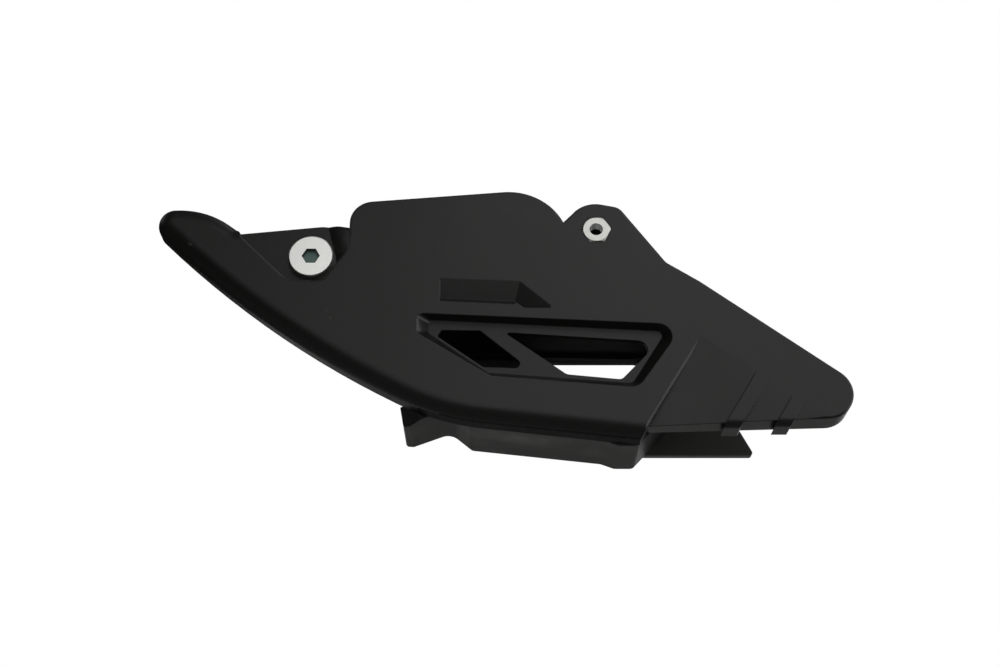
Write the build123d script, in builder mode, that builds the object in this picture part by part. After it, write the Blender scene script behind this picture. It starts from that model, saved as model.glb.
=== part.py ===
"""Chain guide for an off-road motorcycle: two moulded guards, two wear blocks, hardware.

The origin is on the rear mount's axis, in the middle plane of the chain. +X points to the
rear of the motorcycle, +Z up, and -Y to the outer side, away from the wheel. Outlines are
given as X and Z in millimetres, seen from the outer side.
"""

import os
from math import atan2, cos, degrees, hypot, radians, sin, sqrt, tan

from build123d import *

# Layers across the guide, as Y. The wear blocks' width sets where the two guards stand
slider_half = 15.7
cheek = 3.7
seat_gap = 0.3
wall = 3.0
pan_depth = 4.0
pan_wall = 2.5
rim_depth = 11.0
tunnel_half = slider_half - cheek
outer_face = -(slider_half + seat_gap + pan_wall + pan_depth)
outer_inside = outer_face + wall
rim_end = outer_face + rim_depth
inner_near = slider_half + seat_gap
inner_far = inner_near + wall

# Outer guard: rounding of its edges, inside and outside
sweep_round = 6.0
hollow_bevel = 1.8
edge_bevel = 0.6
crease_bevel = 0.9

# Outer guard: lower sweep, nose and fin, from the rear end forwards
sweep_end = (30.0, -84.7)
sweep_knee = (-42.4, -76.4)
sweep_belly = (-74.6, -66.7)
sweep_chin = (-125.2, -35.3)
nose_foot = (-165.8, -0.6)
nose_top = (-161.6, 10.6)
fin_shoulder = (-149.2, 8.9)
fin_heel = (-140.8, 4.5)
fin_foot_length = 5.0
rim_knee = (-104.5, 4.8)
rim_far = (-62.0, -2.2)
rim_rounds = [2.5, 12.0]
sweep_back = (45.0, -45.0)

# Outer guard: hump, rear lug and the slope down to the tail
hump_left = -93.9
hump_corner = (hump_left, 11.7)
hump_corner_round = 9.0
hump_crest = (-35.2, 16.5)
hump_foot = (-12.4, 3.4)
lug_radius = 11.3
lug_from = 52.0
lug_to = 12.0
lug_shoulder = (9.0, 9.7)
lug_side = (26.0, -13.6)
lug_round = 5.0
slope_start = (38.3, -21.5)
slope_rate = -0.744
slope_end = 52.0
upper_low = [(hump_left, -30.0), (-60.0, -58.0), (25.0, -65.0), (42.0, -58.0)]

# Outer guard: crease at the end of the body, and the sloped tail behind it
crease_foot = (14.6, -82.4)
crease_rise = 58.4
tail_bottom = -78.1
tail_bottom_rate = 0.027
tail_tip_round = 9.9
tail_bend = (38.4, -44.3)
tail_slant = 6.3
tail_reach = 80.0
tail_inner = [(7.0, -78.3), (20.0, -45.0)]
strip_feet = [(45.3, 6.0), (63.8, 5.7)]
strip_drop = 2.0
strip_round = 3.0
strip_lap = 2.0

# Outer guard: stiffening ribs inside the shell
rib_width = 2.0
rib_end = rim_end - 0.5
outer_ribs = [
    ((-154.0, 14.0), (-142.0, -30.0)),
    ((-128.0, -14.0), (-116.0, -50.0)),
    ((-100.0, -20.0), (-90.0, -62.0)),
    ((-92.0, -6.0), (-6.0, -10.0)),
    ((-52.0, 20.0), (-51.0, -16.0)),
    ((60.0, -36.0), (64.0, -80.0)),
    ((84.0, -52.0), (86.0, -80.0)),
]

# Outer guard: scallop round the front screw
scallop_depth = 7.0
scallop_wall = 3.0
scallop_top = 18.0
scallop_face = [
    (-137.0, -0.6), (-116.5, -20.9), (-103.5, -21.4), (-94.2, -8.0), (hump_left, scallop_top),
    (-137.0, scallop_top),
]
scallop_floor = [
    (-136.4, 0.4), (-116.0, -19.6), (-105.0, -20.2), (-98.4, -12.0), (-106.0, scallop_top),
    (-136.4, scallop_top),
]
scallop_face_rounds = [0, 10.0, 3.0, 8.0, 0, 0]
scallop_floor_rounds = [0, 9.0, 4.0, 7.0, 0, 0]

# Outer guard: window pan and its two windows
pan_face = [(-67.5, -34.7), (31.6, -39.4), (13.9, -64.4), (-40.1, -59.8), (-67.5, -42.6)]
pan_face_rounds = [2.4, 5.3, 6.0, 3.0, 2.4]
pan_floor = [(-63.2, -35.9), (25.2, -40.6), (12.2, -61.2), (-40.6, -57.2), (-63.2, -41.2)]
pan_floor_rounds = [1.6, 2.0, 2.5, 2.0, 1.6]
left_window = [(-58.3, -40.0), (-44.0, -40.2), (-26.0, -55.4), (-42.9, -54.8), (-60.0, -42.4)]
left_window_rounds = [0.8, 1.0, 1.8, 1.8, 0.8]
right_window = [(-35.0, -40.9), (22.4, -44.8), (8.2, -59.7), (-12.0, -57.7)]
right_window_rounds = [0.5, 3.6, 2.5, 4.0]

# Outer guard: styling pocket over the window pan. Its two facets meet in a crease
pocket_top = [(-59.0, -20.3), (-29.1, -21.6)]
pocket_nose = [(-17.7, -31.5), (-18.0, -32.6), (-27.6, -32.6), (-31.0, -30.2)]
pocket_deep = [(-58.4, -27.5), (-31.0, -28.9)]
pocket_ramp_end = -31.2
pocket_depth = 2.8
pocket_wall = 2.5

# Front mount: M8 screw with a wide flat head, and its spacer tube
front_axis = (-108.6, -8.9)
front_head_radius = 8.5
front_head_height = 2.6
front_head_bevel = 0.4
front_shank_radius = 4.0
front_neck_radius = 3.4
front_neck_length = 1.5
front_free_end = 10.5
front_clearance = 0.3
front_socket_flats = 6.0
front_socket_depth = 1.8
front_tip_bevel = 0.8
sleeve_radius = 6.0
front_boss_radius = 9.5
front_boss_height = 1.5
inner_boss_height = 2.0

# Rear mount: captive M6 nut, and the bush in the inner lug
nut_flats = 10.0
nut_height = 5.0
nut_proud = 0.3
nut_turn = 4.0
nut_thread_radius = 2.55
nut_fit = 0.1
nut_chamfer = 0.9
nut_chamfer_height = 0.5
rear_bore_radius = 3.2
rear_boss_radius = 8.2
bush_radius = 5.0
bush_flange_radius = 7.0
bush_flange_height = 1.2
bush_boss_height = 3.0
bush_fit = 0.05

# Clamp screws: M5 button heads on the wheel side, into hexagonal brass inserts
clamp_places = [(-64.0, -31.8), (23.0, -33.4), (-38.0, -68.6), (-2.0, -71.2)]
clamp_radius = 2.5
clamp_hole_radius = 2.8
clamp_tip_gap = 0.5
clamp_head_radius = 4.9
clamp_head_height = 2.75
clamp_socket_flats = 3.0
clamp_socket_depth = 1.6
boss_radius = 4.5
boss_end = rim_end + 0.3
boss_gap = 0.3
insert_flats = 6.4
insert_length = 7.5
insert_bore = 2.55
insert_fit = 0.05
blind_wall = 2.0

# Sliders: the surface that the chain runs on, and their outlines
run_x = -40.0
run_height = -63.5
run_rate = -0.07
guard_gap = 0.3
upper_groove_z = -36.0
groove_fall = 1.5
lower_under = [(-74.0, -65.0), (-72.4, -73.9), (-69.6, -74.1), (-55.4, -68.8), (-47.2, -75.6)]
lower_under_rounds = [0, 1.4, 0.6, 6.0, 2.5]
lower_keel = [(1.7, -81.0), (6.9, -82.9), (13.9, -82.9), (28.0, -67.5)]
lower_keel_rounds = [4.0, 4.0, 2.5, 2.0]
lower_top = [(21.0, -62.3), (-70.5, -56.9)]
lower_top_rounds = [6.0, 1.5]
lip_cut = [(-64.9, 3.5), (-72.6, 9.7)]
run_ends = [-62.0, 15.0]
groove_ends = [-62.0, 26.0]
run_flare = 26.0
run_drop = 0.32
upper_side = [(-80.0, -31.5), (-66.0, -37.4), (16.0, -39.1), (31.0, -35.7), (33.0, -29.5), (-78.0, -25.5)]
upper_side_rounds = [3.0, 15.0, 15.0, 2.0, 2.0, 3.0]

# Inner guard
inner_outline = [
    (-112.0, -21.0), (-90.0, -36.5), (-78.0, -45.5), (-70.5, -62.0), (-62.0, -65.5),
    (-50.0, -70.0), (-40.0, -74.6), (2.0, -77.4), (61.0, -77.4), (45.5, -47.4), (30.0, -22.0), (10.0, -4.2),
    (-9.5, 3.0), (-24.0, 8.0), (-88.0, 4.0), (-97.0, 0.5), (-108.6, -8.9),
]
inner_outline_rounds = [3.0, 12.0, 8.0, 4.0, 8.0, 8.0, 6.0, 12.0, 1.2, 8.0, 10.0, 0, 0, 8.0, 6.0, 4.0, 0]
inner_lug_radius = 12.0
inner_ribs = [
    (front_axis, clamp_places[0]), (clamp_places[0], (0, 0)), ((0, 0), clamp_places[1]),
    (clamp_places[0], clamp_places[2]), (clamp_places[2], clamp_places[3]),
    (clamp_places[1], (30.0, -74.0)),
]
inner_window = [(-28.0, -38.8), (19.5, -38.8), (16.0, -55.0), (-17.0, -53.4)]
inner_window_round = 3.0
inner_rib_height = 2.5
seat_radius = 5.8

# Lengths and radii that several pieces share
through = 2 * inner_far
screw_hole = front_shank_radius + front_clearance

os.makedirs("parts", exist_ok=True)


def layer(y):
    """The sketch plane at this Y, with X to the right and Z up, facing the outer side."""
    return Plane.XZ.offset(-y)


def slope_z(x):
    """Height of the upper slope's straight edge at this X."""
    return slope_start[1] + slope_rate * (x - slope_start[0])


def run_z(x):
    """Height at this X of the surface that the chain runs on."""
    return run_height + run_rate * (x - run_x)


def along_crease(length, start=crease_foot):
    """The point this far up a line that runs parallel to the crease."""
    rise = radians(crease_rise)
    return (start[0] + length * cos(rise), start[1] + length * sin(rise))


def rounded(y, points, rounds, grow=0.0):
    """A flat face at this Y with straight sides, each corner rounded by its own radius."""
    with BuildSketch(layer(y)) as face:
        with BuildLine():
            FilletPolyline(*points, radius=rounds, close=True)
        make_face()
        if grow:
            offset(amount=grow, kind=Kind.INTERSECTION)
    return face.sketch


def disc(y, centre, radius, bore=0.0):
    """A round face at this Y, with a round hole in it if a bore is given."""
    with BuildSketch(layer(y)) as face:
        with Locations(centre):
            Circle(radius)
            if bore:
                Circle(bore, mode=Mode.SUBTRACT)
    return face.sketch


def discs(y, centres, radius, bore=0.0):
    """The same round face at each of several places."""
    with BuildSketch(layer(y)) as face:
        with Locations(*centres):
            Circle(radius)
            if bore:
                Circle(bore, mode=Mode.SUBTRACT)
    return face.sketch


def hexagon(y, centre, flats, turn=0.0):
    """A hexagonal face at this Y, corners left and right before it is turned."""
    with BuildSketch(layer(y)) as face:
        with Locations(centre):
            RegularPolygon(flats / 2, 6, major_radius=False, rotation=turn)
    return face.sketch


def hexagons(y, centres, flats, bore=0.0):
    """The same hexagonal face at each of several places, with a round hole if a bore is given."""
    with BuildSketch(layer(y)) as face:
        with Locations(*centres):
            RegularPolygon(flats / 2, 6, major_radius=False)
            if bore:
                Circle(bore, mode=Mode.SUBTRACT)
    return face.sketch


def ribs(y, lines, width):
    """Narrow straight strips at this Y, one along each line."""
    with BuildSketch(layer(y)) as face:
        for start, end in lines:
            run, rise = end[0] - start[0], end[1] - start[1]
            with Locations(((start[0] + end[0]) / 2, (start[1] + end[1]) / 2)):
                Rectangle(hypot(run, rise), width, rotation=degrees(atan2(rise, run)))
    return face.sketch


def sweep_face(y, inset=0.0):
    """The rounded lower part: sweep, nose, fin and the rim of the scallop's floor."""
    with BuildSketch(layer(y)) as face:
        with BuildLine():
            run = Line(sweep_end, sweep_knee)
            knee = TangentArc(run @ 1, sweep_belly, tangent=run % 1)
            belly = TangentArc(knee @ 1, sweep_chin, tangent=knee % 1)
            chin = TangentArc(belly @ 1, nose_foot, tangent=belly % 1)
            nose = TangentArc(chin @ 1, nose_top, tangent=chin % 1)
            brow = TangentArc(nose @ 1, fin_shoulder, tangent=nose % 1)
            heel = TangentArc(brow @ 1, fin_heel, tangent=brow % 1)
            foot = heel @ 1 + (heel % 1) * fin_foot_length
            rim = FilletPolyline(heel @ 1, foot, rim_knee, rim_far, radius=rim_rounds)
            Polyline(rim @ 1, sweep_back, run @ 0)
        make_face()
        if inset:
            offset(amount=-inset)
    return face.sketch


def upper_face(y, inset=0.0):
    """The flat upper part: hump, rear lug and the start of the slope."""
    left = (-lug_radius * sin(radians(lug_from)), lug_radius * cos(radians(lug_from)))
    right = (lug_radius * sin(radians(lug_to)), lug_radius * cos(radians(lug_to)))
    with BuildSketch(layer(y)) as face:
        with BuildLine():
            side = FilletPolyline(upper_low[0], hump_corner, hump_crest, radius=hump_corner_round)
            brow = TangentArc(hump_crest, hump_foot, tangent=side % 1)
            Line(brow @ 1, left)
            ThreePointArc(left, (0, lug_radius), right)
            back = FilletPolyline(right, lug_shoulder, lug_side, slope_start, radius=lug_round)
            Polyline(back @ 1, (slope_end, slope_z(slope_end)), *upper_low[::-1])
        make_face()
        if inset:
            offset(amount=-inset)
    return face.sketch


def tail_face(y, inset=0.0):
    """The tail, from inside the body to its rounded tip."""
    gap = slope_z(crease_foot[0]) - tail_bottom
    tip_x = crease_foot[0] + gap / (tail_bottom_rate - slope_rate)
    points = [slope_start, (tip_x, slope_z(tip_x)), *tail_inner]
    return rounded(y, points, [0, tail_tip_round, 0, 0], grow=-inset)


def face_point(point, depth=0.0):
    """The point with this X and Z that lies on the outer face, or this far behind it."""
    return (point[0], outer_face + depth, point[1])


def front_edge(part, point):
    """The edge of the part's outermost face that lies nearest to this X and Z."""
    front = part.faces().sort_by(Axis.Y)[0]
    return front.edges().sort_by_distance((point[0], front.center().Y, point[1]))[0]


def crease_plane(shift=0.0):
    """The plane of the body's rear end, facing the tail, moved this far into the tail."""
    rise = radians(crease_rise)
    out = Vector(sin(rise), 0, -cos(rise))
    foot = Vector(crease_foot[0], 0, crease_foot[1]) + out * shift
    return Plane(origin=foot, x_dir=(0, 1, 0), z_dir=out)


def bevel_plane(size):
    """The plane that takes this much off the edge between the crease and the outer face."""
    crease = crease_plane()
    corner = Vector(crease_foot[0], outer_face + size, crease_foot[1])
    return Plane(origin=corner, x_dir=crease.y_dir, z_dir=crease.z_dir - Vector(0, 1, 0))


def plane_through(first, second, third):
    """The plane through three points, facing the outer side."""
    origin = Vector(first)
    across = Vector(second) - origin
    normal = across.cross(Vector(third) - origin)
    if normal.Y > 0:
        normal = normal * -1
    return Plane(origin=origin, x_dir=across, z_dir=normal)


def tail_wedge(y):
    """What the slanted tail lacks of a flat one whose face lies at this Y."""
    fall = atan2(-slope_rate, 1)
    bend = Plane(
        origin=(tail_bend[0], y, tail_bend[1]),
        x_dir=(-sin(fall), 0, -cos(fall)),
        z_dir=(cos(fall), 0, -sin(fall)),
    )
    sunk = tail_reach * tan(radians(tail_slant))
    with BuildPart() as wedge:
        with BuildSketch(bend):
            with BuildLine():
                low = (tail_reach, -rim_depth)
                Polyline((0, 0), (tail_reach, sunk), low, (0, -rim_depth), close=True)
            make_face()
        extrude(amount=tail_reach, both=True)
    return wedge.part


def strip(foot_x, width):
    """One raised strip across the tail, rounded into the tab under its lower edge."""
    fall, rise = atan2(-slope_rate, 1), radians(crease_rise)
    foot = (foot_x, tail_bottom + tail_bottom_rate * (foot_x - crease_foot[0]))
    sunk_side = (tail_bend[0] - foot[0]) * sin(fall) + (tail_bend[1] - foot[1]) * cos(fall)
    low = along_crease(-strip_drop / sin(rise), foot)
    high = along_crease(sunk_side / sin(fall + rise) + strip_lap, foot)
    points = [low, high, (high[0] + width, high[1]), (low[0] + width, low[1])]
    with BuildPart() as bar:
        extrude(rounded(outer_face, points, 0), amount=-rim_depth)
        bottom = bar.faces().sort_by(Axis.Z)[0]
        fillet(bottom.edges().sort_by(Axis.Y)[0], strip_round)
    return bar.part


# The outer guard's outside, before it is hollowed: body, tail and the tail's strips
with BuildPart() as upper:
    extrude(upper_face(outer_face), amount=-rim_depth)
    chamfer(upper.faces().sort_by(Axis.Y)[0].edges(), edge_bevel)

with BuildPart() as body:
    extrude(sweep_face(outer_face), amount=-rim_depth)
    fillet(front_edge(body, sweep_belly), sweep_round)
    add(upper.part)
    split(bisect_by=crease_plane(), keep=Keep.BOTTOM)
    split(bisect_by=bevel_plane(crease_bevel), keep=Keep.BOTTOM)

with BuildPart() as tail:
    extrude(tail_face(outer_face), amount=-rim_depth)
    chamfer(front_edge(tail, (slope_end, slope_z(slope_end))), edge_bevel)
    add(tail_wedge(outer_face), mode=Mode.SUBTRACT)
    for foot_x, width in strip_feet:
        add(strip(foot_x, width))

# What the shell lacks inside: the body's hollow and the tail's hollow, with a web between
with BuildPart() as body_hollow:
    extrude(sweep_face(outer_inside, wall), amount=-rim_depth)
    chamfer(front_edge(body_hollow, sweep_belly), hollow_bevel)
    extrude(upper_face(outer_inside, wall), amount=-rim_depth)
    split(bisect_by=crease_plane(-wall), keep=Keep.BOTTOM)

with BuildPart() as tail_hollow:
    extrude(tail_face(outer_inside, wall), amount=-rim_depth)
    add(tail_wedge(outer_inside), mode=Mode.SUBTRACT)
    split(bisect_by=crease_plane(), keep=Keep.TOP)

# What stays solid inside those hollows: round the recesses, the bosses and the ribs
rear_boss = disc(outer_inside, (0, 0), rear_boss_radius)
clamp_bosses = discs(outer_inside, clamp_places, boss_radius)
pocket_outline = [*pocket_top, *pocket_nose[:2], (pocket_top[0][0], pocket_nose[1][1])]
with BuildPart() as backing:
    extrude(rounded(outer_inside, scallop_face, scallop_face_rounds, scallop_wall), amount=-rim_depth)
    extrude(rounded(outer_face, pan_face, pan_face_rounds, pan_wall), amount=-pan_depth - pan_wall)
    extrude(rounded(outer_face, pocket_outline, 0, pocket_wall), amount=-pocket_depth - pocket_wall)
    extrude(ribs(outer_inside, outer_ribs, rib_width), amount=outer_inside - rib_end)
    extrude(rear_boss, amount=outer_inside - rim_end)
    extrude(clamp_bosses, amount=outer_inside - boss_end)

# Recesses in the face. The scallop's edge is bevelled like the hump's
with BuildPart() as scallop:
    sections = [
        rounded(outer_face + scallop_depth, scallop_floor, scallop_floor_rounds).face(),
        rounded(outer_face + edge_bevel, scallop_face, scallop_face_rounds).face(),
        rounded(outer_face, scallop_face, scallop_face_rounds, edge_bevel).face(),
    ]
    loft(sections, ruled=True)

with BuildPart() as pan:
    floor = rounded(outer_face + pan_depth, pan_floor, pan_floor_rounds)
    loft([floor.face(), rounded(outer_face, pan_face, pan_face_rounds).face()], ruled=True)

# The pocket's long part, between its upper facet and the ramp, then its nose
deepest = face_point(pocket_deep[1], pocket_depth)
upper_facet = plane_through(face_point(pocket_top[0]), face_point(pocket_top[1]), deepest)
nose_facet = plane_through(face_point(pocket_top[1]), face_point(pocket_nose[0]), deepest)
ramp_end = (pocket_deep[1][0], pocket_ramp_end)
ramp = plane_through(face_point(pocket_deep[0], pocket_depth), face_point(ramp_end), deepest)
long_outline = [*pocket_top, pocket_deep[1], ramp_end, (pocket_top[0][0], pocket_ramp_end)]
with BuildPart() as pocket:
    extrude(rounded(outer_face, long_outline, 0), amount=-pocket_depth)
    split(bisect_by=upper_facet, keep=Keep.TOP)
    split(bisect_by=ramp, keep=Keep.TOP)

with BuildPart() as pocket_end:
    extrude(rounded(outer_face, [pocket_top[1], *pocket_nose, pocket_deep[1]], 0), amount=-pocket_depth)
    split(bisect_by=nose_facet, keep=Keep.TOP)

with BuildPart() as outer_guard:
    add(body.part)
    add(tail.part)
    add(body_hollow.part - backing.part, mode=Mode.SUBTRACT)
    add(tail_hollow.part - backing.part, mode=Mode.SUBTRACT)
    add(scallop.part, mode=Mode.SUBTRACT)
    add(pan.part, mode=Mode.SUBTRACT)
    add(pocket.part, mode=Mode.SUBTRACT)
    add(pocket_end.part, mode=Mode.SUBTRACT)
    for points, rounds in [(left_window, left_window_rounds), (right_window, right_window_rounds)]:
        extrude(rounded(outer_face, points, rounds), amount=-rim_depth, mode=Mode.SUBTRACT)
    # Bosses that stand beyond the rim
    extrude(disc(rim_end, front_axis, front_boss_radius), amount=-front_boss_height)
    extrude(discs(rim_end, clamp_places, boss_radius), amount=rim_end - boss_end)
    # Holes for the mounts and the blind holes for the inserts
    extrude(disc(outer_face, front_axis, screw_hole), amount=-through, mode=Mode.SUBTRACT)
    nut_hole = hexagon(outer_face, (0, 0), nut_flats + 2 * nut_fit, nut_turn)
    extrude(nut_hole, amount=nut_proud - nut_height, mode=Mode.SUBTRACT)
    extrude(disc(outer_face, (0, 0), rear_bore_radius), amount=-through, mode=Mode.SUBTRACT)
    blind = hexagons(boss_end, clamp_places, insert_flats + 2 * insert_fit)
    extrude(blind, amount=boss_end - outer_face - blind_wall, mode=Mode.SUBTRACT)

# The inner guard: a flat plate with ribs and bosses, on the wheel side
with BuildPart() as inner_guard:
    extrude(rounded(inner_near, inner_outline, inner_outline_rounds), amount=-wall)
    extrude(disc(inner_near, front_axis, inner_lug_radius), amount=-wall)
    extrude(disc(inner_near, (0, 0), lug_radius), amount=-wall)
    extrude(ribs(inner_near, inner_ribs, rib_width), amount=-wall - inner_rib_height)
    # Flat seats in the ribs for the screw heads, the bush's flange and the mounting bracket
    seats = [
        discs(inner_far, clamp_places, seat_radius),
        disc(inner_far, (0, 0), rear_boss_radius),
        disc(inner_far, front_axis, inner_lug_radius),
    ]
    for flat in seats:
        extrude(flat, amount=-wall, mode=Mode.SUBTRACT)
    # Bosses towards the outer guard
    extrude(disc(inner_near, front_axis, front_boss_radius), amount=inner_boss_height)
    extrude(disc(inner_near, (0, 0), rear_boss_radius), amount=bush_boss_height)
    # Window and holes
    window = rounded(inner_near, inner_window, inner_window_round)
    extrude(window, amount=-through, mode=Mode.SUBTRACT)
    extrude(disc(inner_near, front_axis, screw_hole), amount=through, both=True, mode=Mode.SUBTRACT)
    bush_hole = bush_radius + bush_fit
    extrude(disc(inner_near, (0, 0), bush_hole), amount=through, both=True, mode=Mode.SUBTRACT)
    clamp_holes = discs(inner_near, clamp_places, clamp_hole_radius)
    extrude(clamp_holes, amount=-through, mode=Mode.SUBTRACT)

# What the lower wear block leaves to the outer guard: all that is outside the shell's room
with BuildPart() as shell_room:
    extrude(sweep_face(rim_end + guard_gap, wall + guard_gap), amount=rim_depth)
    split(bisect_by=crease_plane(-wall - guard_gap), keep=Keep.BOTTOM)

with BuildPart() as shell_rest:
    around = hypot(*nose_foot) + hypot(*sweep_end)
    extrude(disc(rim_end + guard_gap, (0, 0), around), amount=rim_depth)
    add(shell_room.part, mode=Mode.SUBTRACT)

# The lower wear block. Its outer flank stands inside the outer guard's shell
lower_points = [*lower_under, *lower_keel, *lower_top]
lower_rounds = [*lower_under_rounds, *lower_keel_rounds, *lower_top_rounds]
with BuildPart() as lower_slider:
    extrude(rounded(slider_half, lower_points, lower_rounds), amount=2 * slider_half)
    add(shell_rest.part, mode=Mode.SUBTRACT)
    # The channel that the chain runs in
    channel_points = [
        (2 * run_ends[0], run_z(run_ends[0]) + run_ends[0] * run_drop),
        (run_ends[0], run_z(run_ends[0])),
        (run_ends[1], run_z(run_ends[1])),
        (run_ends[1] + tail_reach, run_z(run_ends[1]) - tail_reach * run_drop),
        (run_ends[1] + tail_reach, 0),
        (2 * run_ends[0], 0),
    ]
    channel = rounded(tunnel_half, channel_points, [0, run_flare, run_flare, 0, 0, 0])
    extrude(channel, amount=2 * tunnel_half, mode=Mode.SUBTRACT)
    lip_start, lip_end = [(x, depth - slider_half, 0) for x, depth in lip_cut]
    above_start = (*lip_start[:2], wall)
    split(bisect_by=plane_through(lip_start, lip_end, above_start), keep=Keep.BOTTOM)
    boss_holes = discs(-slider_half, clamp_places[2:], boss_radius + boss_gap)
    extrude(boss_holes, amount=-slider_half - boss_end - boss_gap, mode=Mode.SUBTRACT)
    clamp_holes = discs(0, clamp_places[2:], clamp_hole_radius)
    extrude(clamp_holes, amount=slider_half, both=True, mode=Mode.SUBTRACT)

# The upper wear block, over the chain
with BuildPart() as upper_slider:
    extrude(rounded(slider_half, upper_side, upper_side_rounds), amount=2 * slider_half)
    groove_points = [
        (2 * groove_ends[0], upper_groove_z - groove_ends[0] * run_drop),
        (groove_ends[0], upper_groove_z),
        (groove_ends[1], upper_groove_z - groove_fall),
        (groove_ends[1] + tail_reach, upper_groove_z + tail_reach * run_drop),
        (groove_ends[1] + tail_reach, -tail_reach),
        (2 * groove_ends[0], -tail_reach),
    ]
    groove = rounded(tunnel_half, groove_points, [0, run_flare, run_flare, 0, 0, 0])
    extrude(groove, amount=2 * tunnel_half, mode=Mode.SUBTRACT)
    boss_holes = discs(-slider_half, clamp_places[:2], boss_radius + boss_gap)
    extrude(boss_holes, amount=-slider_half - boss_end - boss_gap, mode=Mode.SUBTRACT)
    clamp_holes = discs(0, clamp_places[:2], clamp_hole_radius)
    extrude(clamp_holes, amount=slider_half, both=True, mode=Mode.SUBTRACT)

# The front mount's screw, with a hexagon socket in its wide flat head
seat = outer_face + scallop_depth
with BuildPart() as front_mount_screw:
    extrude(disc(seat, front_axis, front_head_radius), amount=front_head_height)
    face = front_mount_screw.faces().sort_by(Axis.Y)[0]
    chamfer(face.edges(), front_head_bevel)
    extrude(disc(seat, front_axis, front_shank_radius), amount=seat - inner_far)
    extrude(disc(inner_far, front_axis, front_neck_radius), amount=-front_neck_length)
    free_start = inner_far + front_neck_length
    extrude(disc(free_start, front_axis, front_shank_radius), amount=front_neck_length - front_free_end)
    tip = front_mount_screw.faces().sort_by(Axis.Y)[-1]
    chamfer(tip.edges(), front_tip_bevel)
    socket = hexagon(seat - front_head_height, front_axis, front_socket_flats)
    extrude(socket, amount=-front_socket_depth, mode=Mode.SUBTRACT)

# The spacer tube round it, between the two guards
with BuildPart() as front_mount_sleeve:
    tube = disc(rim_end + front_boss_height, front_axis, sleeve_radius, screw_hole)
    sleeve_length = inner_near - inner_boss_height - rim_end - front_boss_height
    extrude(tube, amount=-sleeve_length)

# The rear mount's captive nut
nut_face = outer_face - nut_proud
with BuildPart() as nut_turned:
    extrude(disc(nut_face, (0, 0), nut_flats / sqrt(3)), amount=-nut_height)
    rim = nut_turned.edges().sort_by(Axis.Y)[0]
    chamfer(rim, nut_chamfer_height, nut_chamfer)

with BuildPart() as rear_mount_nut:
    extrude(hexagon(nut_face, (0, 0), nut_flats, nut_turn), amount=-nut_height)
    add(nut_turned.part, mode=Mode.INTERSECT)
    extrude(disc(nut_face, (0, 0), nut_thread_radius), amount=-nut_height, mode=Mode.SUBTRACT)

# The flanged bush in the inner guard's rear lug
with BuildPart() as rear_mount_bush:
    bush_near = inner_near - bush_boss_height
    extrude(disc(bush_near, (0, 0), bush_radius, rear_bore_radius), amount=bush_near - inner_far)
    flange = disc(inner_far, (0, 0), bush_flange_radius, rear_bore_radius)
    extrude(flange, amount=-bush_flange_height)

# The screws and inserts that clamp the two guards together
with BuildPart() as clamp_screws:
    extrude(discs(inner_far, clamp_places, clamp_head_radius), amount=-clamp_head_height)
    rim = clamp_screws.faces().sort_by(Axis.Y)[-4:]
    chamfer(rim.edges(), clamp_head_height / 2)
    clamp_length = inner_far - outer_inside - clamp_tip_gap
    extrude(discs(inner_far, clamp_places, clamp_radius), amount=clamp_length)
    sockets = hexagons(inner_far + clamp_head_height, clamp_places, clamp_socket_flats)
    extrude(sockets, amount=clamp_socket_depth, mode=Mode.SUBTRACT)

with BuildPart() as threaded_inserts:
    extrude(hexagons(boss_end, clamp_places, insert_flats, insert_bore), amount=insert_length)

outer_guard.part.label = "outer_guard"
export_step(outer_guard.part, "parts/outer_guard.step")
inner_guard.part.label = "inner_guard"
export_step(inner_guard.part, "parts/inner_guard.step")
lower_slider.part.label = "lower_slider"
export_step(lower_slider.part, "parts/lower_slider.step")
upper_slider.part.label = "upper_slider"
export_step(upper_slider.part, "parts/upper_slider.step")
front_mount_screw.part.label = "front_mount_screw"
export_step(front_mount_screw.part, "parts/front_mount_screw.step")
front_mount_sleeve.part.label = "front_mount_sleeve"
export_step(front_mount_sleeve.part, "parts/front_mount_sleeve.step")
rear_mount_nut.part.label = "rear_mount_nut"
export_step(rear_mount_nut.part, "parts/rear_mount_nut.step")
rear_mount_bush.part.label = "rear_mount_bush"
export_step(rear_mount_bush.part, "parts/rear_mount_bush.step")
clamp_screws.part.label = "clamp_screws"
export_step(clamp_screws.part, "parts/clamp_screws.step")
threaded_inserts.part.label = "threaded_inserts"
export_step(threaded_inserts.part, "parts/threaded_inserts.step")
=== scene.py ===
# The looks of a motorcycle chain guide: black moulded guards and wear blocks with bright zinc
# hardware, photographed from below in a white studio. The CAD pieces keep their own shapes.
# Sizes are in metres, as in Blender, unless a comment says millimetres.
import math

import bpy
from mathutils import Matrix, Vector

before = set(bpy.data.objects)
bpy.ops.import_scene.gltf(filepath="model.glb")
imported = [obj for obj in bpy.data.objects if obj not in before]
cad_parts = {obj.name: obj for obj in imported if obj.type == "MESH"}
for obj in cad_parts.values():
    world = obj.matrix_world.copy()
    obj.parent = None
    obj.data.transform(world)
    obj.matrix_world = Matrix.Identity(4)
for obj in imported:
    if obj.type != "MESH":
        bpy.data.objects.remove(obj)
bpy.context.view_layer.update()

MM = 0.001
WHITE = "#ffffff"

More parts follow.
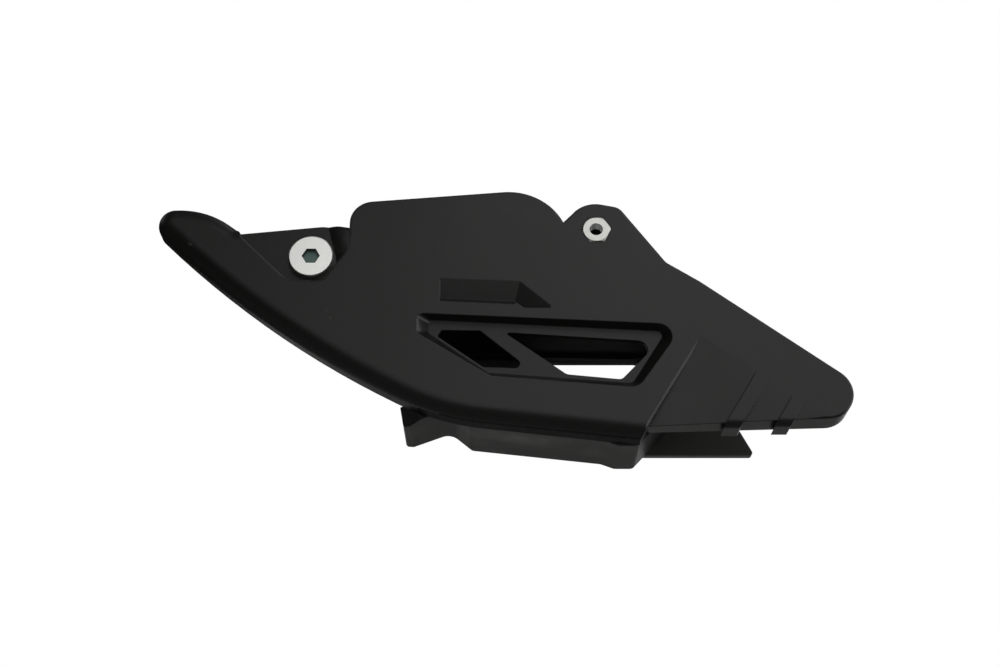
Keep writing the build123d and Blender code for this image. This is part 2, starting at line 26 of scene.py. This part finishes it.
# Where a second finish or a painted shade starts on a piece, in mm. An axis runs along Y and stands
# at X and Z, and the windows' walls lie in a range along X, Y and Z
FRONT_AXIS = (-108.6, -8.9)
REAR_AXIS = (0.0, 0.0)
SOCKET_RADIUS = 3.6
SOCKET_TOP = -18.0
SOCKET_FLOOR = -15.6
STUD_START = 20.6
NUT_HOLE_RADIUS = 2.6
LIP_FRONT_Y = -18.5
LIP_END_X = 20.0
WINDOW_WALLS = ((-61.0, 24.0), (-18.45, -16.05), (-61.0, -39.5))
INNER_WINDOW_TOP = -38.8
INNER_WINDOW_BAND = 0.2
# The normal of a face that looks down has a Z below this
DOWNWARD = -0.93

# Moulded plastic. Its grain is given as width and depth in mm, its edges by their radius in mm.
# Both grains are finer than this on the real parts, and are drawn as coarse as they need to show
ETCHED_GRAIN = (0.5, 0.02)
POLISHED_GRAIN = (0.8, 0.01)
CRISP_EDGE = 0.5
SOFT_EDGE = 0.7
EDGE_SAMPLES = 6
POLYOLEFIN_IOR = 1.49
FLOW_CLOUD = 35.0
FLOW_SPREAD = (-0.03, 0.04)

# Metal: width in mm of the clouds in its finish, and how far they change the roughness
PLATING_CLOUD = 1.5
PLATING_SPREAD = (-0.05, 0.08)

# The part of a noise's range that its clouds are taken from
NOISE_RANGE = (0.3, 0.7)

# Screw threads: pitch and depth in mm. One band of Blender's wave texture is a tenth of pi wide
M8_THREAD = (1.25, 0.35)
M6_THREAD = (1.0, 0.3)
WAVE_BAND = math.pi / 10

# Scuffs on the outer face: x, z, length, width in mm, and turn in degrees
OUTER_FACE_Y = -22.5
SCUFF_DEPTH = 3.0
SCUFF_CORE = 0.4
SCUFF_GRIT = 0.6
SCUFF_GRIT_RANGE = (0.35, 0.6)
SCUFFS = [
    (-154.0, -6.0, 2.6, 1.4, 30),
    (-160.5, -5.2, 1.4, 0.8, 10),
    (-101.2, -33.6, 1.6, 0.9, 60),
    (-99.4, -36.8, 1.8, 1.0, 50),
]

# Handling marks and a painted highlight on the lower wear block, in mm: the width of the clouds,
# and the middle and the reach along X, Y and Z of the painted highlight on one stretch of its
# underside
HANDLING_CLOUD = 14.0
HANDLING_RANGE = (0.42, 0.64)
HANDLING_STRENGTH = 0.12
HIGHLIGHT_PLACE = (-30.0, -5.0, -77.5)
HIGHLIGHT_REACH = (24.0, 8.0, 6.0)

# Table under the part, and the room round it
TABLE_DROP = 0.42
TABLE_SIZE = 14.0
TABLE_COLOR = "#e9e9e7"
TABLE_ROUGH = 0.9
TABLE_GLOW = 0.55
ROOM_LIGHT = 0.30

# Cards that only the gloss sees. The dark ones keep the white room out of the satin black
# plastic's sheen, and the bright ones line its right-hand edges and lift the tail's slopes.
# Name, place, the way it faces, width, height, colour, glow
CARD_ROUGH = 0.95
CARDS = [
    ("cloth on the table", (-0.2, -0.25, -0.36), (0, 0, 1), 2.2, 1.5, "#8c8c8c", 0.0),
    ("low rear card", (0.0, 0.75, -0.27), (0, -1, 0), 2.2, 0.5, "#a6a6a4", 0.0),
    ("left card", (-0.82, -0.38, 0.0), (0.82, 0.38, 0), 1.8, 0.9, "#303030", 0.0),
    ("left rear card", (-0.75, 0.35, -0.1), (0.75, -0.35, 0), 1.2, 0.8, "#0c0c0c", 0.0),
    ("overhead left card", (-0.34, -0.29, 0.78), (0.34, 0.29, -0.78), 1.2, 1.2, "#161616", 0.0),
    ("overhead rear card", (0.0, 0.35, 0.75), (0, -1, 0), 2.2, 1.3, "#161616", 0.0),
    ("bright right card", (1.15, -0.25, -0.22), (-1.15, 0.25, 0.2), 0.55, 0.55, WHITE, 3.4),
    ("front card", (0.18, -1.47, 0.13), (-0.13, 1.47, -0.19), 0.5, 0.26, WHITE, 1.8),
    ("small bright card", (0.86, -0.11, 0.47), (-0.86, 0.11, -0.5), 0.18, 0.18, WHITE, 14.0),
]

# Lamps: name, place, size, watts. They all point at the middle of the part
LAMP_AIM = Vector((-0.03, 0, -0.03))
LAMPS = [
    ("overhead softbox", (0.2, -0.9, 1.2), 1.3, 6.0),
    ("rear softbox", (-0.4, 1.1, 0.9), 1.2, 5.0),
]

# Camera: it looks up at the outer face from below. Lens and sensor are in mm
CAMERA_PLACE = Vector((-36.57, -536.97, -266.6)) * MM
CAMERA_RISE = math.radians(23.5)
CAMERA_LENS = 54.72
CAMERA_SENSOR = 36.0


def linear(color):
    """The linear RGBA of an sRGB hex colour."""
    channels = [int(color[i : i + 2], 16) / 255 for i in (1, 3, 5)]
    return [c / 12.92 if c <= 0.04045 else ((c + 0.055) / 1.055) ** 2.4 for c in channels] + [1.0]


def add_node(tree, kind, settings=None, **sockets):
    """Adds a shader node. A socket is given a value, or another node's output to link.

    A socket's name has _ for each space, and _0, _1 and so on stand for its number.
    """
    node = tree.nodes.new(kind)
    for name, value in (settings or {}).items():
        setattr(node, name, value)
    for name, value in sockets.items():
        key = int(name[1:]) if name[0] == "_" else name.replace("_", " ")
        if isinstance(value, bpy.types.NodeSocket):
            tree.links.new(value, node.inputs[key])
        else:
            node.inputs[key].default_value = value
    return node


def new_material(name):
    """A material, its tree and its shader, and the place on the part that patterns start from."""
    material = bpy.data.materials.new(name)
    material.use_nodes = True
    tree = material.node_tree
    tree.nodes.clear()
    shader = add_node(tree, "ShaderNodeBsdfPrincipled")
    add_node(tree, "ShaderNodeOutputMaterial", Surface=shader.outputs[0])
    place = add_node(tree, "ShaderNodeTexCoord").outputs["Object"]
    return material, tree, shader, place


def seen(tree):
    """1 for a ray of the camera's, straight, off a mirror or through glass, and 0 for any other."""
    rays = add_node(tree, "ShaderNodeLightPath").outputs
    found = rays["Is Camera Ray"]
    for bent in (rays["Is Glossy Ray"], rays["Is Transmission Ray"]):
        settings = {"operation": "MAXIMUM"}
        found = add_node(tree, "ShaderNodeMath", settings, _0=found, _1=bent).outputs[0]
    return found


def uneven(tree, place, cloud_mm, detail, middle, spread):
    """A value that wanders round its middle in clouds this wide."""
    cloud = add_node(
        tree, "ShaderNodeTexNoise", Vector=place, Scale=1 / (cloud_mm * MM), Detail=detail
    ).outputs["Fac"]
    return add_node(
        tree,
        "ShaderNodeMapRange",
        Value=cloud,
        From_Min=NOISE_RANGE[0],
        From_Max=NOISE_RANGE[1],
        To_Min=middle + spread[0],
        To_Max=middle + spread[1],
    ).outputs["Result"]


def patch(tree, place, middle, reach, turn=0.0, core=0.0):
    """An oval patch in mm: 1 in its core, a share of its reach, and fading to 0 at its edge."""
    local = add_node(
        tree,
        "ShaderNodeMapping",
        {"vector_type": "TEXTURE"},
        Vector=place,
        Location=Vector(middle) * MM,
        Rotation=(0, math.radians(turn), 0),
        Scale=Vector(reach) * MM,
    ).outputs[0]
    settings = {"operation": "LENGTH"}
    away = add_node(tree, "ShaderNodeVectorMath", settings, _0=local).outputs["Value"]
    return add_node(
        tree, "ShaderNodeMapRange", Value=away, From_Min=1.0, From_Max=core
    ).outputs["Result"]


def moulded_plastic(name, color, rough, sheen_level, grain, edge_mm):
    """Injection-moulded polyolefin, black through and through, out of a lightly etched mould.

    The eye sees a satin black with a soft sheen, a fine even grain, and edges a little round.
    """
    material, tree, shader, place = new_material(name)
    grain_mm, grain_depth_mm = grain
    edges = add_node(
        tree, "ShaderNodeBevel", {"samples": EDGE_SAMPLES}, Radius=edge_mm * MM
    ).outputs["Normal"]
    etching = add_node(
        tree, "ShaderNodeTexNoise", Vector=place, Scale=1 / (grain_mm * MM), Detail=2.0
    ).outputs["Fac"]
    bump = add_node(
        tree,
        "ShaderNodeBump",
        Height=etching,
        Strength=1.0,
        Distance=grain_depth_mm * MM,
        Normal=edges,
    ).outputs["Normal"]
    sheen = uneven(tree, place, FLOW_CLOUD, 3.0, rough, FLOW_SPREAD)
    shader.inputs["Base Color"].default_value = linear(color)
    shader.inputs["IOR"].default_value = POLYOLEFIN_IOR
    shader.inputs["Specular IOR Level"].default_value = sheen_level
    tree.links.new(sheen, shader.inputs["Roughness"])
    tree.links.new(bump, shader.inputs["Normal"])
    return material, tree, shader, place


def stain(tree, shader, mask, color):
    """Turns a shader's base colour to another one where a mask is 1."""
    plain = tuple(shader.inputs["Base Color"].default_value)
    settings = {"data_type": "RGBA"}
    mixed = add_node(tree, "ShaderNodeMix", settings, _0=mask, _6=plain, _7=linear(color))
    tree.links.new(mixed.outputs[2], shader.inputs["Base Color"])


def scuff_mask(tree, place):
    """The small pale scuffs that a stone or a boot leaves on the outer face."""
    mask = 0.0
    for x, z, length, width, turn in SCUFFS:
        middle = (x, OUTER_FACE_Y, z)
        reach = (length / 2, SCUFF_DEPTH, width / 2)
        scuff = patch(tree, place, middle, reach, turn, SCUFF_CORE)
        settings = {"operation": "MAXIMUM"}
        mask = add_node(tree, "ShaderNodeMath", settings, _0=mask, _1=scuff).outputs[0]
    grit = add_node(
        tree, "ShaderNodeTexNoise", Vector=place, Scale=1 / (SCUFF_GRIT * MM), Detail=3.0
    ).outputs["Fac"]
    torn = add_node(
        tree,
        "ShaderNodeMapRange",
        Value=grit,
        From_Min=SCUFF_GRIT_RANGE[0],
        From_Max=SCUFF_GRIT_RANGE[1],
    ).outputs["Result"]
    settings = {"operation": "MULTIPLY"}
    return add_node(tree, "ShaderNodeMath", settings, _0=mask, _1=torn).outputs[0]


def handling_marks_and_highlight_mask(tree, place):
    """The cloudy marks of handling on a wear block, and a painted highlight on one stretch of its
    underside.
    """
    cloud = add_node(
        tree, "ShaderNodeTexNoise", Vector=place, Scale=1 / (HANDLING_CLOUD * MM), Detail=3.0
    ).outputs["Fac"]
    marks = add_node(
        tree,
        "ShaderNodeMapRange",
        Value=cloud,
        From_Min=HANDLING_RANGE[0],
        From_Max=HANDLING_RANGE[1],
        To_Max=HANDLING_STRENGTH,
    ).outputs["Result"]
    painted_highlight = patch(tree, place, HIGHLIGHT_PLACE, HIGHLIGHT_REACH)
    settings = {"operation": "MULTIPLY"}
    fading = add_node(tree, "ShaderNodeMath", settings, _0=painted_highlight, _1=cloud).outputs[0]
    settings = {"operation": "ADD", "use_clamp": True}
    return add_node(tree, "ShaderNodeMath", settings, _0=marks, _1=fading).outputs[0]


def bright_metal(name, color, rough, thread=None):
    """Plated or turned metal, pale and a little cloudy, with a soft mirror in it.

    A thread, given as its pitch and depth, adds the ridges of a screw that runs along Y.
    """
    material, tree, shader, place = new_material(name)
    shader.inputs["Base Color"].default_value = linear(color)
    shader.inputs["Metallic"].default_value = 1.0
    polish = uneven(tree, place, PLATING_CLOUD, 4.0, rough, PLATING_SPREAD)
    tree.links.new(polish, shader.inputs["Roughness"])
    if thread:
        pitch_mm, depth_mm = thread
        ridges = add_node(
            tree,
            "ShaderNodeTexWave",
            {"bands_direction": "Y"},
            Vector=place,
            Scale=WAVE_BAND / (pitch_mm * MM),
        ).outputs["Fac"]
        bump = add_node(
            tree, "ShaderNodeBump", Height=ridges, Strength=1.0, Distance=depth_mm * MM
        ).outputs["Normal"]
        tree.links.new(bump, shader.inputs["Normal"])
    return material


def dress(node_name, material):
    """Gives a CAD node its material."""
    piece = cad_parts[node_name]
    piece.data.materials.clear()
    piece.data.materials.append(material)


def dress_where(node_name, material, belongs):
    """Gives another material to the faces that belong to it.

    What belongs is told from a face's middle in mm and the way that it looks.
    """
    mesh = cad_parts[node_name].data
    mesh.materials.append(material)
    for face in mesh.polygons:
        if belongs(face.center / MM, face.normal):
            face.material_index = len(mesh.materials) - 1


def from_axis(middle, axis):
    """How far the middle of a face is from an axis that runs along Y."""
    return math.hypot(middle.x - axis[0], middle.z - axis[1])


def in_lip_or_window(middle, facing):
    """Whether a face is in the underside of the outer guard's lip, or in its windows' walls."""
    ranges = zip(middle, WINDOW_WALLS)
    in_window = all(low < along < high for along, (low, high) in ranges)
    under_lip = middle.y > LIP_FRONT_Y and middle.x < LIP_END_X
    return in_window or (facing.z < DOWNWARD and under_lip)


def in_inner_window_top(middle, facing):
    """Whether a face is the top wall of the inner guard's window."""
    return facing.z < DOWNWARD and abs(middle.z - INNER_WINDOW_TOP) < INNER_WINDOW_BAND


def in_socket(middle, facing):
    """Whether a face is inside the front screw's hexagon socket."""
    in_depth = SOCKET_TOP < middle.y < SOCKET_FLOOR
    return in_depth and from_axis(middle, FRONT_AXIS) < SOCKET_RADIUS


# Polypropylene guards: satin black. The outer one has a few pale scuffs, and the inner one is a
# little greyer and shinier. Undersides and window walls get a darker, duller black as painted shade
guard_black, tree, shader, place = moulded_plastic(
    "moulded black polypropylene", "#141413", 0.37, 0.31, ETCHED_GRAIN, CRISP_EDGE
)
stain(tree, shader, scuff_mask(tree, place), "#3e3e3c")
plate_black, *_ = moulded_plastic(
    "moulded black plate polypropylene", "#323231", 0.42, 0.45, ETCHED_GRAIN, CRISP_EDGE
)
painted_shade_black, *_ = moulded_plastic(
    "moulded black polypropylene darkened as painted shade", "#0e0e0e", 0.6, 0.12, ETCHED_GRAIN, CRISP_EDGE
)

# Polyethylene wear blocks: waxy black. The lower one has softer edges, shows the marks of handling
# and a painted highlight on its underside, and the upper one is duller and darker as painted shade
# of its tunnel
wear_black, tree, shader, place = moulded_plastic(
    "moulded black wear polyethylene", "#161616", 0.42, 0.26, POLISHED_GRAIN, SOFT_EDGE
)
stain(tree, shader, handling_marks_and_highlight_mask(tree, place), "#5c5c5a")
# Painted shade: the upper block's duller, darker black stands for the dark of the tunnel it sits in
upper_black_painted_shade, *_ = moulded_plastic(
    "dull black wear polyethylene as painted tunnel shade", "#121212", 0.7, 0.15, POLISHED_GRAIN, CRISP_EDGE
)

# Bright zinc plated steel: nearly white with a soft mirror. It is painted darker on the pressed-in
# nut as shade of the pocket it sits in, darker on the rolled thread, and a grey-green painted shade
# in the screw's socket
zinc = bright_metal("bright zinc plated steel", "#f0f0ec", 0.32)
nut_zinc_painted_shade = bright_metal("bright zinc darkened as painted shade on a pressed-in nut", "#b6b6b1", 0.32)
socket_zinc = bright_metal("bright zinc in a socket's shade", "#5a6b67", 0.5)
stud_zinc = bright_metal("bright zinc on a rolled M8 thread", "#b9b9b5", 0.35, M8_THREAD)
hole_zinc = bright_metal("bright zinc on a tapped M6 thread", "#eef1ed", 0.4, M6_THREAD)

# Turned aluminium is a clear light grey, and turned brass a warm yellow
aluminium = bright_metal("turned aluminium", "#c4c5c8", 0.36)
brass = bright_metal("turned brass", "#c9a45c", 0.32)

dress("outer_guard", guard_black)
dress("inner_guard", plate_black)
dress("lower_slider", wear_black)
dress("upper_slider", upper_black_painted_shade)
dress("front_mount_screw", zinc)
dress("front_mount_sleeve", aluminium)
dress("rear_mount_nut", nut_zinc_painted_shade)
dress("rear_mount_bush", aluminium)
dress("clamp_screws", zinc)
dress("threaded_inserts", brass)
# Painted shade: the outer guard's downward lip faces and window walls, and the top of the inner
# guard's window, are darker
dress_where("outer_guard", painted_shade_black, in_lip_or_window)
dress_where("inner_guard", painted_shade_black, in_inner_window_top)
dress_where("front_mount_screw", socket_zinc, in_socket)
dress_where("front_mount_screw", stud_zinc, lambda middle, facing: middle.y > STUD_START)
dress_where(
    "rear_mount_nut",
    hole_zinc,
    lambda middle, facing: from_axis(middle, REAR_AXIS) < NUT_HOLE_RADIUS,
)

# The room is white wherever it is seen, straight or in a mirror, and lights the part softly
world = bpy.data.worlds.new("white room")
bpy.context.scene.world = world
world.use_nodes = True
room = world.node_tree
room.nodes.clear()
strength = add_node(
    room, "ShaderNodeMapRange", Value=seen(room), To_Min=ROOM_LIGHT, To_Max=1.0
).outputs["Result"]
backdrop = add_node(room, "ShaderNodeBackground", Color=linear(WHITE), Strength=strength)
add_node(room, "ShaderNodeOutputWorld", Surface=backdrop.outputs[0])

# The table is seen nearly as white as the room, and keeps the part's shadow
bpy.ops.mesh.primitive_plane_add(size=TABLE_SIZE, location=(0, 0, -TABLE_DROP))
table = bpy.context.object
table.name = "table"
paint, paint_tree, paint_shader, _ = new_material("matt white table")
paint_shader.inputs["Base Color"].default_value = linear(TABLE_COLOR)
paint_shader.inputs["Roughness"].default_value = TABLE_ROUGH
paint_shader.inputs["Emission Color"].default_value = linear(WHITE)
glow = add_node(paint_tree, "ShaderNodeMapRange", Value=seen(paint_tree), To_Max=TABLE_GLOW)
paint_tree.links.new(glow.outputs["Result"], paint_shader.inputs["Emission Strength"])
table.data.materials.append(paint)

for name, place, facing, width, height, color, glow in CARDS:
    felt, _, felt_shader, _ = new_material("felt of the " + name)
    felt_shader.inputs["Base Color"].default_value = linear(color)
    felt_shader.inputs["Roughness"].default_value = CARD_ROUGH
    felt_shader.inputs["Emission Color"].default_value = linear(color)
    felt_shader.inputs["Emission Strength"].default_value = glow
    bpy.ops.mesh.primitive_plane_add(size=1.0, location=place)
    card = bpy.context.object
    card.name = name
    card.scale = (width, height, 1.0)
    card.rotation_euler = Vector(facing).to_track_quat("Z", "Y").to_euler()
    card.visible_camera = card.visible_diffuse = card.visible_shadow = False
    card.data.materials.append(felt)

for name, place, size, watts in LAMPS:
    light = bpy.data.lights.new(name, "AREA")
    light.shape = "DISK"
    light.size = size
    light.energy = watts
    lamp = bpy.data.objects.new(name, light)
    lamp.location = place
    lamp.rotation_euler = (LAMP_AIM - Vector(place)).to_track_quat("-Z", "Y").to_euler()
    bpy.context.scene.collection.objects.link(lamp)

camera_data = bpy.data.cameras.new("camera")
camera_data.lens = CAMERA_LENS
camera_data.sensor_width = CAMERA_SENSOR
camera = bpy.data.objects.new("camera", camera_data)
camera.location = CAMERA_PLACE
camera.rotation_euler = (math.pi / 2 + CAMERA_RISE, 0, 0)
bpy.context.scene.collection.objects.link(camera)
bpy.context.scene.camera = camera
bpy.context.scene.view_settings.view_transform = "Standard"
